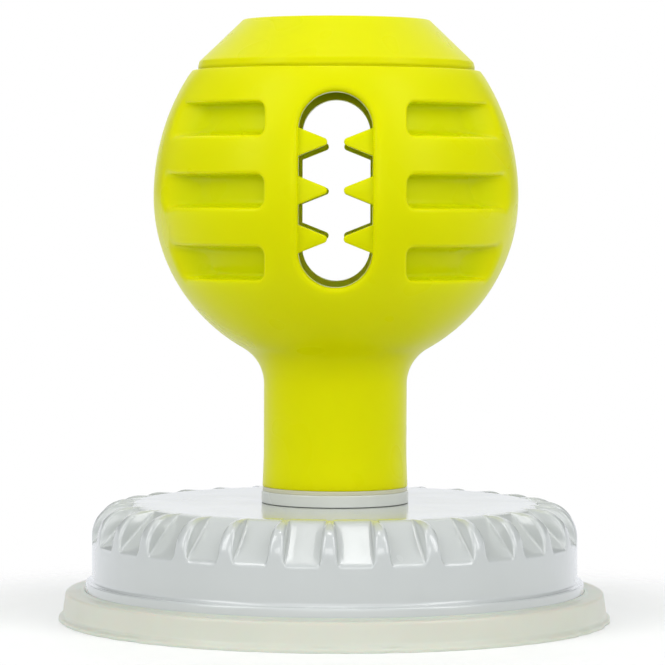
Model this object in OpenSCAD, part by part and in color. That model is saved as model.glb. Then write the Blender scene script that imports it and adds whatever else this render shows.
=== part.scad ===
// A lick and treat ball for pets on a twist-lock suction base.
// The origin is the middle of the base on the floor, +Z is up and the front slot faces -Y.

/* [Ball] */
// Widest diameter of the ball
ball_d = 80.2; // [78:0.2:82]
// Height of the ball's widest ring above the floor
ball_z = 93; // [92:0.5:94]
// Height of the ball's upper half, if it were whole
upper_h = 45.2; // [44.5:0.1:46]
// Height of the ball's lower half, if it were whole
lower_h = 38.6; // [38.2:0.1:40]
// Radius of the hollow inside the ball
cavity_r = 33; // [32:0.25:33.5]
// Height of the flat floor of that hollow
cavity_floor_z = 64; // [63:0.5:65]
// Height of the shoulder that the lid rests on
shoulder_z = 120.6; // [120:0.1:121]
// Radius of the mouth under the lid
mouth_r = 27; // [26.5:0.1:27.5]

/* [Slot and teeth] */
// Width of the slot through the ball
slot_w = 15.6; // [15:0.1:16.2]
// Height of the slot, round ends included
slot_h = 41.3; // [40:0.1:42]
// Height of the slot's middle above the floor
slot_z = 94.5; // [94:0.1:95]
// Teeth on each side of a slot
tooth_count = 3; // [1:1:3]
// Distance from tooth to tooth
tooth_pitch = 10.2; // [9.5:0.1:10.5]
// Height of a tooth at its root
tooth_root_h = 6; // [5:0.1:6]
// How far a tooth stands into the slot
tooth_len = 6.05; // [5:0.05:6.5]

/* [Pockets] */
// Rows of pockets
pocket_rows = 3; // [1:1:3]
// Height of the middle row above the floor
pocket_z = 94.2; // [93:0.1:95]
// Distance from row to row
pocket_pitch = 15.3; // [14.5:0.1:15.5]
// Height of a pocket's opening
pocket_h = 7.1; // [6:0.1:8]
// Distance from the middle plane to a pocket's near end
pocket_near_x = 15.2; // [15:0.1:17]
// Angle from the front to a pocket's far end
pocket_far_angle = 68.5; // [65:0.5:70]
// Depth of a pocket
pocket_depth = 4.5; // [4.2:0.1:4.8]

/* [Stem] */
// Radius of the stem
stem_r = 15.75; // [15.5:0.05:16]
// Radius of the round between the stem and the ball
neck_round = 9; // [8:0.5:10]
// Radius of the grey collar under the stem
collar_r = 16.2; // [15.8:0.05:16.4]

/* [Lid] */
// Radius of the lid's flat top
lid_top_r = 20.5; // [19:0.5:22]
// Radius of the lid's rim
lid_rim_r = 30.4; // [30:0.1:31]
// Height of the lid's top above the floor
total_h = 131.8; // [130:0.1:133]

/* [Knob] */
// Radius of the knob's upright wall
knob_r = 53.5; // [53:0.1:54]
// Height of the knob's flat top above the floor
knob_top_z = 25.7; // [25.7:0.1:25.8]
// Radius of the flat top where the scallops start
knob_disc_r = 44.3; // [43.5:0.1:45]
// Grip scallops round the knob
scallop_count = 30; // [24:1:32]
// Width of a scallop
scallop_w = 7.6; // [6:0.1:8]
// Turn from unlocked to locked
lock_angle = 110; // [90:1:110]
// Height that the cup's middle is lifted
lift = 4; // [3:0.1:4]

/* [Suction cup] */
// Radius of the cup's lip on the floor
cup_lip_r = 60.8; // [60.5:0.1:61.5]
// Radius of the cup's upper edge
cup_edge_r = 59.3; // [59:0.1:60]
// Height of the cup's rim
cup_rim_z = 6.3; // [6.2:0.1:6.3]

/* [Hidden] */
$fn = 96;

lime = [0.87, 0.89, 0.05];
cream = [0.83, 0.84, 0.77];
light_grey = [0.83, 0.85, 0.85];
dull_grey = [0.6, 0.61, 0.5];
steel = [0.7, 0.71, 0.73];
white = [0.93, 0.93, 0.91];

// Ball
ball_r = ball_d / 2;
shoulder_round = 1.2;
stem_foot_z = 29.3;
stem_foot_r = stem_r + 0.25;
stem_flare_z = 36;
socket_top_z = 54.5;
tooth_drop = 0.15;
neck_x = stem_r + neck_round;
neck_touch = neck_search(0, 90, 24);
neck_normal = lower_normal(neck_touch);
neck_z = ball_z - lower_h * sin(neck_touch) - neck_round * neck_normal.y;
neck_angle = atan2(neck_normal.y, neck_normal.x);
cavity_mouth_angle = acos(mouth_r / cavity_r);
cavity_floor_angle = asin((cavity_floor_z - ball_z) / cavity_r);
tooth_back = 33.5;
tooth_front = 37.8;
tooth_tip_r = 0.8;
tooth_bury = 1.5;
past = 5;
over = 1;

// Turning post and its fits
running_gap = 0.06;
loose_gap = 0.3;
collar_z = 26;
collar_top_z = 28.4;
spigot_r = 11;
spigot_top_z = 52.5;
insert_wall = 1.1;
insert_flange_r = stem_r + 0.2;
screw_gap = 0.2;
post_r = 4.95;
post_top_z = 48;
neck_cap_r = 9.5;
neck_cap_z = 21.5;
stud_r = 6;
stud_top_z = 25;
washer_r = 7.5;
washer_t = 1.2;
long_screw_r = 2;
long_screw_tip_z = 18;
long_screw_head_r = 3.5;
long_screw_head_h = 2.4;
screw_hole_past = 0.5;

// Lock: pin, ramps and plate
pin_r = 1.5;
pin_half = 10.3;
pin_z = 15.3;
tower_r = 8.3;
tower_top_z = 21.2;
hub_z = 11.8;
hub_under_z = 9.9;
hub_r = 21;
plate_seat_z = 3.6;
plate_rim_r = 54.4;
plate_seat_r = 42;
thrust_t = 0.6;
cam_z = hub_z + thrust_t;
cam_floor_t = 1;
cam_wall_in = 10.8;
cam_wall_out = 15.2;
cam_top_z = 22.6;
ramp_in = tower_r + 0.2;
ramp_low_z = pin_z - pin_r - 0.25;
ramp_lead_in = 14;
ramp_steps = 12;
stop_start = lock_angle + 11.5;
stop_end = 168.5;
stop_top_z = 20.6;
small_screw_ring_r = 13;
small_screw_r = 1.2;
small_screw_head_r = 2.1;
small_screw_seat_z = 24;
small_screw_tip_z = 15;

// Knob
knob_round = 7;
knob_foot_z = 6.5;
flange_r = knob_r + 1.6;
flange_top_z = 8.6;
flange_round = 1;
knob_wall = 2;
roof_drop = knob_wall + 0.2;
roof_edge_r = knob_disc_r - 1.7;
wall_top_z = 15.4;
scallop_foot_z = 17;
scallop_slope = atan2(knob_top_z - scallop_foot_z, knob_r - knob_disc_r);
rib_phase = -91.1;
knob_hole_r = neck_cap_r + loose_gap;

// Cup
cup_split_r = 18.5;
cup_centre_top_z = plate_seat_z + 1.8;
cup_centre_under_z = 1.9;
lip_h = 0.7;
lip_flare = 0.6;
lip_flare_z = 1.5;
edge_round = 0.6;
grip_r = 56;
web_rise_r = 50;
web_rise_z = 0.9;
foot_r = 13;
foot_z = 2.9;
foot_t = 1.5;

// Points along an arc, both ends included
function arc(cx, cy, r, from, to, steps) =
    [for (i = [0:steps]) let (a = from + (to - from) * i / steps) [cx + r * cos(a), cy + r * sin(a)]];

// Radius of the ball's outside at a height
function ball_radius(z) = ball_r * sqrt(1 - pow((z - ball_z) / (z > ball_z ? upper_h : lower_h), 2));

// Unit vector out of the ball's lower half, and down, at that half's own angle
function lower_normal(a) = let (n = [lower_h * cos(a), ball_r * sin(a)]) n / norm(n);

// The angle at which the neck's round touches the ball's lower half, halved step by step
function neck_search(low, high, steps) =
    let (a = (low + high) / 2, x = ball_r * cos(a) + neck_round * lower_normal(a).x)
    steps == 0 ? a : x > neck_x ? neck_search(a, high, steps - 1) : neck_search(low, a, steps - 1);

// A ring from two radii and two heights
module ring(inner, outer, low, high) {
    rotate_extrude()
        translate([inner, low])
            square([outer - inner, high - low]);
}

module rod(r, low, high) {
    translate([0, 0, low])
        cylinder(r = r, h = high - low);
}

module both_ways(axis) {
    children();
    mirror(axis)
        children();
}

// Half of the ball's section, hollow and socket included
module ball_section() {
    shoulder_angle = asin((shoulder_z - shoulder_round - ball_z) / upper_h);
    polygon(concat(
        [[stem_foot_r, stem_foot_z], [stem_r, stem_flare_z]],
        arc(neck_x, neck_z, neck_round, 180, 180 - neck_angle, 6),
        [for (i = [1:12]) let (a = neck_touch * (1 - i / 12)) [ball_r * cos(a), ball_z - lower_h * sin(a)]],
        [for (i = [1:8]) let (a = shoulder_angle * i / 8) [ball_r * cos(a), ball_z + upper_h * sin(a)]],
        [[ball_radius(shoulder_z) - shoulder_round * 0.6, shoulder_z], [mouth_r, shoulder_z]],
        arc(0, ball_z, cavity_r, cavity_mouth_angle, cavity_floor_angle, 16),
        [[0, cavity_floor_z], [0, socket_top_z]],
        [[spigot_r + running_gap + insert_wall, socket_top_z]],
        [[spigot_r + running_gap + insert_wall, stem_foot_z]]
    ));
}

module slot_outline() {
    straight = slot_h - slot_w;
    square([slot_w, straight], center = true);
    both_ways([0, 1])
        translate([0, straight / 2])
            circle(d = slot_w);
}

// One tooth that points to -X, its tip rounded
module tooth_outline() {
    tip_x = slot_w / 2 - tooth_len + tooth_tip_r;
    side = atan2(slot_w / 2 - tip_x, tooth_root_h / 2 - tooth_tip_r);
    polygon(concat(
        [[slot_w / 2 + tooth_bury, -tooth_root_h / 2], [slot_w / 2 + tooth_bury, tooth_root_h / 2]],
        [[slot_w / 2, tooth_root_h / 2]],
        arc(tip_x, 0, tooth_tip_r, 180 - side, 180 + side, 6),
        [[slot_w / 2, -tooth_root_h / 2]]
    ));
}

module teeth() {
    for (i = [0:tooth_count - 1])
        translate([0, -tooth_back, slot_z - tooth_drop + (i - (tooth_count - 1) / 2) * tooth_pitch])
            rotate([90, 0, 0])
                linear_extrude(tooth_front - tooth_back)
                    tooth_outline();
}

// One pocket, its floor level with the ball's curve and its near end upright and square to the front
module pocket(z) {
    low = z - pocket_h / 2;
    steps = 4;
    intersection() {
        rotate([0, 0, 90 - pocket_far_angle])
            rotate_extrude(angle = pocket_far_angle)
                polygon(concat(
                    [for (i = [0:steps])
                        let (h = low + pocket_h * i / steps) [ball_radius(h) - pocket_depth, h]],
                    [[ball_r + past, low + pocket_h], [ball_r + past, low]]
                ));
        translate([pocket_near_x, 0, low - over])
            cube([ball_r + past, ball_r + past, pocket_h + 2 * over]);
    }
}

module ball_shell() {
    color(lime) {
        difference() {
            rotate_extrude()
                ball_section();
            translate([0, 0, slot_z])
                rotate([90, 0, 0])
                    linear_extrude(2 * (ball_r + past), center = true)
                        slot_outline();
            for (row = [0:pocket_rows - 1])
                both_ways([1, 0, 0])
                    both_ways([0, 1, 0])
                        pocket(pocket_z + (row - (pocket_rows - 1) / 2) * pocket_pitch);
        }
        both_ways([0, 1, 0])
            both_ways([1, 0, 0])
                teeth();
    }
}

// Cone lid with a plug skirt, hollow from below
module top_lid() {
    rim_top_z = shoulder_z + 2;
    skirt_r = mouth_r - 0.1;
    skirt_wall = 2.5;
    skirt_foot_z = shoulder_z - 3.7;
    roof_t = 3.2;
    rim_notch = 0.6;
    color(lime)
        rotate_extrude()
            polygon([
                [0, total_h], [lid_top_r, total_h], [lid_rim_r, rim_top_z],
                [lid_rim_r - 0.3, shoulder_z + rim_notch], [lid_rim_r - 0.9, shoulder_z],
                [skirt_r, shoulder_z], [skirt_r, skirt_foot_z],
                [skirt_r - skirt_wall, skirt_foot_z], [skirt_r - skirt_wall, shoulder_z + 0.9],
                [lid_top_r - 2.7, total_h - roof_t], [0, total_h - roof_t]
            ]);
}

// Stiff sleeve in the stem, with the thin flange that shows under it
module stem_insert() {
    inner = spigot_r + running_gap;
    color(dull_grey) {
        ring(inner, inner + insert_wall, collar_top_z, socket_top_z);
        ring(inner, insert_flange_r, collar_top_z, stem_foot_z);
    }
}

// Collar and spigot that the ball's stem is pushed on
module swivel_collar() {
    shelf_z = post_top_z - loose_gap;
    color(light_grey)
        difference() {
            union() {
                rod(collar_r, collar_z, collar_top_z);
                rod(spigot_r, collar_z, spigot_top_z);
            }
            rod(post_r + running_gap, collar_z - over, shelf_z + over);
            rod(washer_r + loose_gap, shelf_z, spigot_top_z + over);
        }
}

// Post that the collar turns on, capped over the stud
module pivot_post() {
    color(light_grey)
        difference() {
            union() {
                rod(neck_cap_r, neck_cap_z, collar_z);
                rod(post_r, neck_cap_z, post_top_z);
            }
            rod(stud_r + running_gap, neck_cap_z - over, stud_top_z);
            rod(long_screw_r + screw_gap, neck_cap_z, post_top_z + over);
        }
}

module post_washer() {
    color(steel)
        ring(long_screw_r + screw_gap, washer_r, post_top_z, post_top_z + washer_t);
}

module post_screw() {
    seat_z = post_top_z + washer_t;
    slot_depth = 1.2;
    color(steel)
        difference() {
            union() {
                rod(long_screw_r, long_screw_tip_z, seat_z);
                rod(long_screw_head_r, seat_z, seat_z + long_screw_head_h);
            }
            translate([0, 0, seat_z + long_screw_head_h])
                cross_recess(long_screw_head_r * 1.3, slot_depth);
        }
}

// Cross cut into a screw's head
module cross_recess(size, depth) {
    for (turn = [0, 90])
        rotate([0, 0, turn])
            cube([size, size / 4, 2 * depth], center = true);
}

// Stud moulded into the cup's middle
module lift_stud() {
    color(white)
        difference() {
            union() {
                rod(foot_r, foot_z, foot_z + foot_t);
                rod(stud_r, foot_z, stud_top_z);
            }
            translate([0, 0, pin_z])
                rotate([0, 90, 0])
                    cylinder(r = pin_r, h = 2 * (stud_r + over), center = true);
            rod(long_screw_r, long_screw_tip_z - screw_hole_past, stud_top_z + over);
        }
}

module cross_pin() {
    color(steel)
        translate([0, 0, pin_z])
            rotate([0, 90, 0])
                cylinder(r = pin_r, h = 2 * pin_half, center = true);
}

// Middle of the suction cup, lifted by the stud's foot
module cup_centre() {
    color(cream)
        difference() {
            rod(cup_split_r, cup_centre_under_z, cup_centre_top_z);
            rod(foot_r, foot_z, foot_z + foot_t);
            rod(stud_r, foot_z, cup_centre_top_z + over);
        }
}

// Suction cup up to its middle: lip, rim, seat for the plate and thin web
module suction_cup() {
    color(cream)
        rotate_extrude()
            polygon([
                [cup_lip_r, 0], [cup_lip_r, lip_h], [cup_edge_r + lip_flare, lip_flare_z],
                [cup_edge_r, cup_rim_z - edge_round], [cup_edge_r - edge_round, cup_rim_z],
                [plate_rim_r, cup_rim_z], [plate_rim_r, plate_seat_z],
                [plate_seat_r, plate_seat_z], [cup_split_r + loose_gap, cup_centre_top_z],
                [cup_split_r + loose_gap, cup_centre_under_z], [web_rise_r, web_rise_z], [grip_r, 0]
            ]);
}

// Plate that presses on the cup's rim, with a slotted tower that guides the stud
module pressure_plate() {
    wall = 2;
    plate_top_z = cup_rim_z - 0.1;
    slot_floor_z = pin_z - pin_r - loose_gap;
    color(white)
        difference() {
            rotate_extrude()
                polygon([
                    [plate_rim_r, plate_seat_z], [plate_rim_r, plate_top_z], [knob_r - 4, plate_top_z],
                    [plate_seat_r, plate_top_z + wall / 2], [hub_r + 2, hub_z], [tower_r, hub_z],
                    [tower_r, tower_top_z], [stud_r + running_gap, tower_top_z],
                    [stud_r + running_gap, hub_under_z], [hub_r, hub_under_z],
                    [plate_seat_r - 1.5, plate_seat_z + wall / 2], [plate_seat_r, plate_seat_z]
                ]);
            translate([-tower_r - over, -pin_r - running_gap, slot_floor_z])
                cube([2 * (tower_r + over), 2 * (pin_r + running_gap), tower_top_z]);
        }
}

module thrust_washer() {
    color(white)
        ring(ramp_in, cam_wall_out, hub_z, hub_z + thrust_t);
}

// One ramp: a low flat, the climb over the lock's turn and a high flat
module ramp() {
    low_z = cam_z + cam_floor_t / 2;
    inner = ramp_in + 0.1;
    outer = cam_wall_in + 0.5;
    stations = concat(
        [[-ramp_lead_in, ramp_low_z]],
        [for (i = [0:ramp_steps]) [lock_angle * i / ramp_steps, ramp_low_z + lift * i / ramp_steps]],
        [[stop_start + 2, ramp_low_z + lift]]
    );
    last = len(stations) - 1;
    points = [for (s = stations)
        each [
            [inner * cos(s[0]), inner * sin(s[0]), low_z],
            [outer * cos(s[0]), outer * sin(s[0]), low_z],
            [outer * cos(s[0]), outer * sin(s[0]), s[1]],
            [inner * cos(s[0]), inner * sin(s[0]), s[1]]
        ]
    ];
    sides = [for (i = [0:last - 1], k = [0:3])
        [4 * i + k, 4 * i + (k + 1) % 4, 4 * i + 4 + (k + 1) % 4, 4 * i + 4 + k]];
    triangles = [for (q = sides) each [[q[0], q[1], q[2]], [q[0], q[2], q[3]]]];
    polyhedron(points, concat(triangles, [[0, 2, 1], [0, 3, 2]],
        [[4 * last, 4 * last + 1, 4 * last + 2], [4 * last, 4 * last + 2, 4 * last + 3]]));
}

module stop_wall() {
    rotate([0, 0, stop_start])
        rotate_extrude(angle = stop_end - stop_start)
            translate([ramp_in, cam_z + cam_floor_t / 3])
                square([cam_wall_in + 1 - ramp_in, stop_top_z - cam_z - cam_floor_t / 3]);
}

module at_small_screws() {
    for (turn = [60:120:300])
        rotate([0, 0, turn])
            translate([small_screw_ring_r, 0, 0])
                children();
}

// Ring under the knob: the pin climbs its two ramps as the knob turns
module cam_ring() {
    color(white)
        difference() {
            union() {
                ring(tower_r + running_gap, cam_wall_out, cam_z, cam_z + cam_floor_t);
                ring(cam_wall_in, cam_wall_out, cam_z, cam_top_z);
                for (half = [0, 180])
                    rotate([0, 0, half]) {
                        ramp();
                        stop_wall();
                    }
            }
            at_small_screws()
                rod(small_screw_r, small_screw_tip_z - screw_hole_past, cam_top_z + over);
            translate([cam_wall_in - over, 0, pin_z])
                rotate([0, 90, 0])
                    cylinder(r = pin_r + screw_gap, h = cam_wall_out - cam_wall_in + 2 * over);
        }
}

module knob_section() {
    polygon(concat(
        [[knob_hole_r, knob_top_z]],
        arc(knob_r - knob_round, knob_top_z - knob_round, knob_round, 90, 0, 8),
        arc(knob_r + flange_round, flange_top_z + flange_round, flange_round, 180, 270, 4),
        [[flange_r, knob_foot_z], [knob_r - knob_wall, knob_foot_z]],
        [[knob_r - knob_wall, wall_top_z], [roof_edge_r, knob_top_z - roof_drop]],
        [[cam_wall_out + over, knob_top_z - roof_drop], [cam_wall_out + over, cam_top_z]],
        [[knob_hole_r, cam_top_z]]
    ));
}

// Ribbed knob: flat scallops cut its round shoulder and leave the ribs between them
module lock_knob() {
    slope_len = norm([knob_r - knob_disc_r, knob_top_z - scallop_foot_z]);
    cut = 12;
    color(light_grey)
        difference() {
            rotate_extrude()
                knob_section();
            for (i = [0:scallop_count - 1])
                rotate([0, 0, rib_phase + (i + 0.5) * 360 / scallop_count])
                    translate([knob_disc_r, 0, knob_top_z])
                        rotate([0, scallop_slope, 0])
                            translate([-1, -scallop_w / 2, 0])
                                cube([slope_len + cut, scallop_w, cut]);
            at_small_screws() {
                rod(small_screw_r + screw_gap, cam_top_z - over, knob_top_z + over);
                rod(small_screw_head_r + screw_gap, small_screw_seat_z, knob_top_z + over);
            }
        }
}

module knob_screws() {
    head_h = 1.5;
    color(steel)
        at_small_screws()
            difference() {
                union() {
                    rod(small_screw_r, small_screw_tip_z, small_screw_seat_z);
                    rod(small_screw_head_r, small_screw_seat_z, small_screw_seat_z + head_h);
                }
                translate([0, 0, small_screw_seat_z + head_h])
                    cross_recess(small_screw_head_r * 1.3, head_h / 2);
            }
}

suction_cup();
pressure_plate();
thrust_washer();
cam_ring();
lock_knob();
knob_screws();
cup_centre();
lift_stud();
cross_pin();
pivot_post();
post_washer();
post_screw();
swivel_collar();
stem_insert();
ball_shell();
top_lid();
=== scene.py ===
# %% [markdown]
# # A lick and treat ball on a twist-lock suction base
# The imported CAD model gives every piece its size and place. This lesson keeps that frame fixed and builds
# the looks round it: the soft lime ball with its slot, teeth and pockets, the cone lid, the ribbed knob,
# the grey collar and the milky suction cup. Lengths are in millimetres until a mesh is made.

# %% Load the frame
import math
from functools import partial

import bmesh
import bpy
from mathutils import Matrix, Vector, noise


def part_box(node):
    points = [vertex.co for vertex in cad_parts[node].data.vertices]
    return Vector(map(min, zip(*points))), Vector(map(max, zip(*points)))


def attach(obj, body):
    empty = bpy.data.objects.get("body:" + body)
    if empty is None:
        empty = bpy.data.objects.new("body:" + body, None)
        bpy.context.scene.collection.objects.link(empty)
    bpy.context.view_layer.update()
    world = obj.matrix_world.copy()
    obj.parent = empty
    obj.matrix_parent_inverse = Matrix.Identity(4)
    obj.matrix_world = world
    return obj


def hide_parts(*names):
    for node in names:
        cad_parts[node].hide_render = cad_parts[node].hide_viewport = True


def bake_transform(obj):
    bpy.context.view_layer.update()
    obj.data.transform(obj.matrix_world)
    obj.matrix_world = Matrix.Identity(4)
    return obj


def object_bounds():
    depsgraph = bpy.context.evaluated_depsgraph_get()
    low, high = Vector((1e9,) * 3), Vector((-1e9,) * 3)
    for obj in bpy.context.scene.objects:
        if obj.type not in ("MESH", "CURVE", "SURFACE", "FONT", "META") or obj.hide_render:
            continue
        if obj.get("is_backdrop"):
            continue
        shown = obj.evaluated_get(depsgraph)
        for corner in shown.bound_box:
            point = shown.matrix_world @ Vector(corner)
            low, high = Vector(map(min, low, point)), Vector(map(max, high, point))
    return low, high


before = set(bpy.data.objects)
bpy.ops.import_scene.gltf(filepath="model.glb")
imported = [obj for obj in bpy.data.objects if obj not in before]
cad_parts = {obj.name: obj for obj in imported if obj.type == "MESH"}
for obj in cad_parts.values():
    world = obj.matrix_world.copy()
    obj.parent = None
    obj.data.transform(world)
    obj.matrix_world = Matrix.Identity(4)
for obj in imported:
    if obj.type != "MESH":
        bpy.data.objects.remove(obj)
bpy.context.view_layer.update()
MM = 0.001


def box_mm(node):
    low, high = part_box(node)
    return low / MM, high / MM


# %% [markdown]
# ## Outlines with round corners
# Moulded plastic has no sharp corner: each edge has a small round that catches a line of light. A section
# could be drawn with a Bevel modifier afterwards, but here the outline is written as corners with their
# own radius, and a helper turns each corner with an arc. A short straight next to every arc keeps the flat
# faces flat when they are shaded smoothly.

# %% Arcs and rounded outlines
ARC_STEP = 15
SUPPORT = 0.35


def arc(centre_x, centre_z, radius, start, end, steps):
    angles = [math.radians(start + (end - start) * i / steps) for i in range(steps + 1)]
    return [(centre_x + radius * math.cos(a), centre_z + radius * math.sin(a)) for a in angles]


def rounded(corners):
    """Points along an outline of (x, z, radius) corners."""
    points = []
    for index, (x, z, radius) in enumerate(corners):
        here = Vector((x, z))
        if radius == 0 or index in (0, len(corners) - 1):
            points.append((x, z))
            continue
        before = Vector(corners[index - 1][:2]) - here
        after = Vector(corners[index + 1][:2]) - here
        back, ahead = before.normalized(), after.normalized()
        half = back.angle(ahead) / 2
        reach = radius / math.tan(half)
        centre = here + (back + ahead).normalized() * radius / math.sin(half)
        side = 1 if back.x * ahead.y - back.y * ahead.x < 0 else -1
        turn = math.pi - 2 * half
        steps = max(2, math.ceil(math.degrees(turn) / ARC_STEP))
        start = here + back * reach - centre
        if before.length > reach + 2 * SUPPORT:
            points.append(tuple(here + back * (reach + SUPPORT)))
        for i in range(steps + 1):
            swing = Matrix.Rotation(side * turn * i / steps, 2)
            points.append(tuple(centre + swing @ start))
        if after.length > reach + 2 * SUPPORT:
            points.append(tuple(here + ahead * (reach + SUPPORT)))
    return points


# %% Make a mesh object from millimetres
SHARP_ANGLE = math.radians(38)
SAME_POINT = 0.002
NO_LENGTH = 0.001


def mesh_object(name, points, faces=()):
    mesh = bpy.data.meshes.new(name)
    mesh.from_pydata([Vector(p) * MM for p in points], (), faces)
    piece = bpy.data.objects.new(name, mesh)
    bpy.context.scene.collection.objects.link(piece)
    return piece


def finish_mesh(piece):
    """Merges doubles, turns the faces outwards and shades smoothly, with true corners kept sharp."""
    work = bmesh.new()
    work.from_mesh(piece.data)
    bmesh.ops.remove_doubles(work, verts=work.verts, dist=SAME_POINT * MM)
    bmesh.ops.dissolve_degenerate(work, edges=work.edges, dist=NO_LENGTH * MM)
    bmesh.ops.recalc_face_normals(work, faces=work.faces)
    for face in work.faces:
        face.smooth = True
    for edge in work.edges:
        edge.smooth = len(edge.link_faces) != 2 or edge.calc_face_angle() < SHARP_ANGLE
    open_edges = sum(1 for edge in work.edges if len(edge.link_faces) != 2)
    work.to_mesh(piece.data)
    work.free()
    piece.data.update()
    triangles = sum(len(p.vertices) - 2 for p in piece.data.polygons)
    print(piece.name, triangles, "triangles,", open_edges, "open edges")
    return piece


# %% [markdown]
# ## Finishes
# Six plastics and one plated metal. Each material is a small tree of noise on Object coordinates: one slow
# noise shifts the colour, one fine noise gives the moulded grain through Bump, and one moves the roughness.
# A single flat colour would look like paint on a computer model.

# %% Helpers for material trees
POLISH_SIZE = 9
GRAIN_DEPTH = 0.02


def node(tree, kind, inputs=None, **settings):
    made = tree.nodes.new(kind)
    for name, value in settings.items():
        setattr(made, name, value)
    for key, value in (inputs or {}).items():
        if isinstance(value, bpy.types.NodeSocket):
            tree.links.new(value, made.inputs[key])
        else:
            made.inputs[key].default_value = value
    return made


def maths(tree, operation, first, second=0.0):
    return node(tree, "ShaderNodeMath", {0: first, 1: second}, operation=operation).outputs[0]


def vector(tree, x=0.0, y=0.0, z=0.0):
    return node(tree, "ShaderNodeCombineXYZ", {0: x, 1: y, 2: z}).outputs[0]


def ramp(tree, value, start=(0.0, 1.0), end=(0.0, 1.0), kind="SMOOTHSTEP"):
    """Maps a value from one range to another, and eases both ends unless the kind says otherwise."""
    limits = {"From Min": start[0], "From Max": start[1], "To Min": end[0], "To Max": end[1]}
    made = node(tree, "ShaderNodeMapRange", {"Value": value, **limits}, interpolation_type=kind)
    return made.outputs["Result"]


def linear(red, green, blue):
    """A colour written as a screen shows it, 0 to 255, as the light values that a shader takes."""
    return tuple((c / 255 / 12.92 if c < 10.5 else ((c / 255 + 0.055) / 1.055) ** 2.4)
                 for c in (red, green, blue)) + (1.0,)


def blended(tree, share, first, second):
    """Mixes two colours. The colour sockets of a Mix node are its third pair, so they are set by place."""
    return node(tree, "ShaderNodeMix", {"Factor": share, 6: first, 7: second}, data_type="RGBA").outputs[2]


def moulded(name, light, dark, roughness, grain, patch_size=14, **shader):
    """A moulded plastic: two near colours in soft patches, a fine grain and an uneven polish."""
    material = bpy.data.materials.new(name)
    material.use_nodes = True
    tree = material.node_tree
    surface = tree.nodes["Principled BSDF"]
    place = node(tree, "ShaderNodeTexCoord").outputs["Object"]
    patches = node(tree, "ShaderNodeTexNoise", {
        "Vector": place, "Scale": 1 / (patch_size * MM), "Detail": 3.0, "Roughness": 0.45})
    tree.links.new(blended(tree, patches.outputs["Fac"], light, dark), surface.inputs["Base Color"])
    polish = node(tree, "ShaderNodeTexNoise", {
        "Vector": place, "Scale": 1 / (POLISH_SIZE * MM), "Detail": 0.0})
    tree.links.new(ramp(tree, polish.outputs["Fac"], end=roughness), surface.inputs["Roughness"])
    fine = node(tree, "ShaderNodeTexNoise", {"Vector": place, "Scale": 1 / (grain[0] * MM), "Detail": 2.0})
    bump = node(tree, "ShaderNodeBump", {
        "Height": fine.outputs["Fac"], "Strength": grain[1], "Distance": GRAIN_DEPTH * MM})
    tree.links.new(bump.outputs["Normal"], surface.inputs["Normal"])
    for socket, value in shader.items():
        surface.inputs[socket.replace("_", " ")].default_value = value
    return material


def painted_shading_inside(material, shading_paint, middle_z, radius, below, above, near, far):
    """Paints a colour that stands in for light or shade onto what lies inside an egg round the axis.

    The egg has a radius and a height below and above its middle. The painted colour is full up to the near
    share of its size and gone at the far share."""
    tree = material.node_tree
    surface = tree.nodes["Principled BSDF"]
    outside = surface.inputs["Base Color"].links[0].from_socket
    place = node(tree, "ShaderNodeTexCoord").outputs["Object"]
    away = node(tree, "ShaderNodeVectorMath", {0: place, 1: (0, 0, middle_z * MM)}, operation="SUBTRACT")
    height = node(tree, "ShaderNodeSeparateXYZ", {0: away.outputs["Vector"]}).outputs["Z"]
    is_up = maths(tree, "GREATER_THAN", height, 0.0)
    half_z = ramp(tree, is_up, end=(below * MM, above * MM), kind="LINEAR")
    egg = vector(tree, radius * MM, radius * MM, half_z)
    scaled = node(tree, "ShaderNodeVectorMath", {0: away.outputs["Vector"], 1: egg}, operation="DIVIDE")
    length = node(tree, "ShaderNodeVectorMath", {0: scaled.outputs["Vector"]}, operation="LENGTH")
    share = ramp(tree, length.outputs["Value"], start=(near, far))
    # The painted light or shade is mixed over the surface's own colour.
    tree.links.new(blended(tree, share, shading_paint, outside), surface.inputs["Base Color"])


# %% The finishes of this toy
def lime(name):
    """The soft lime plastic: hardly any mirror, and light spreads inside it."""
    return moulded(name, linear(226, 227, 0), linear(220, 222, 0), (0.25, 0.34), (0.5, 0.2),
                   Specular_IOR_Level=0.12, Specular_Tint=(1.0, 1.0, 0.4, 1.0),
                   Subsurface_Weight=0.5, Subsurface_Scale=0.006, Subsurface_Radius=(0.8, 1.0, 0.1))


LIME = lime("lime_rubber")
KNOB_GREY = moulded("knob_grey", linear(196, 200, 198), linear(191, 195, 193), (0.2, 0.28), (1.2, 0.03),
                    IOR=1.55, Coat_Weight=0.9, Coat_Roughness=0.12)
COLLAR_GREY = moulded("collar_grey", linear(210, 213, 208), linear(204, 207, 200), (0.2, 0.3), (0.8, 0.15))
# Partly the sleeve's own grey, partly painted: the darker olive tone is a painted reflection of the lime
# and painted shade under the stem.
SLEEVE_OLIVE_SHADED = moulded("sleeve_olive_painted_shade", linear(206, 205, 180), linear(196, 193, 165), (0.3, 0.45), (0.5, 0.3),
                      patch_size=5)
CUP_CREAM = moulded("cup_cream", linear(204, 206, 192), linear(197, 199, 184), (0.28, 0.42), (1.5, 0.2),
                    patch_size=9, Subsurface_Weight=0.25, Subsurface_Scale=0.003)
INNER_WHITE = moulded("inner_white", linear(226, 226, 220), linear(218, 218, 210), (0.35, 0.5), (0.6, 0.3))
STEEL = moulded("plated_steel", linear(196, 198, 202), linear(178, 181, 186), (0.22, 0.38), (0.3, 0.35),
                patch_size=3, Metallic=1.0)


def dress(piece, material):
    piece.data.materials.clear()
    piece.data.materials.append(material)
    return piece


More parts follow.
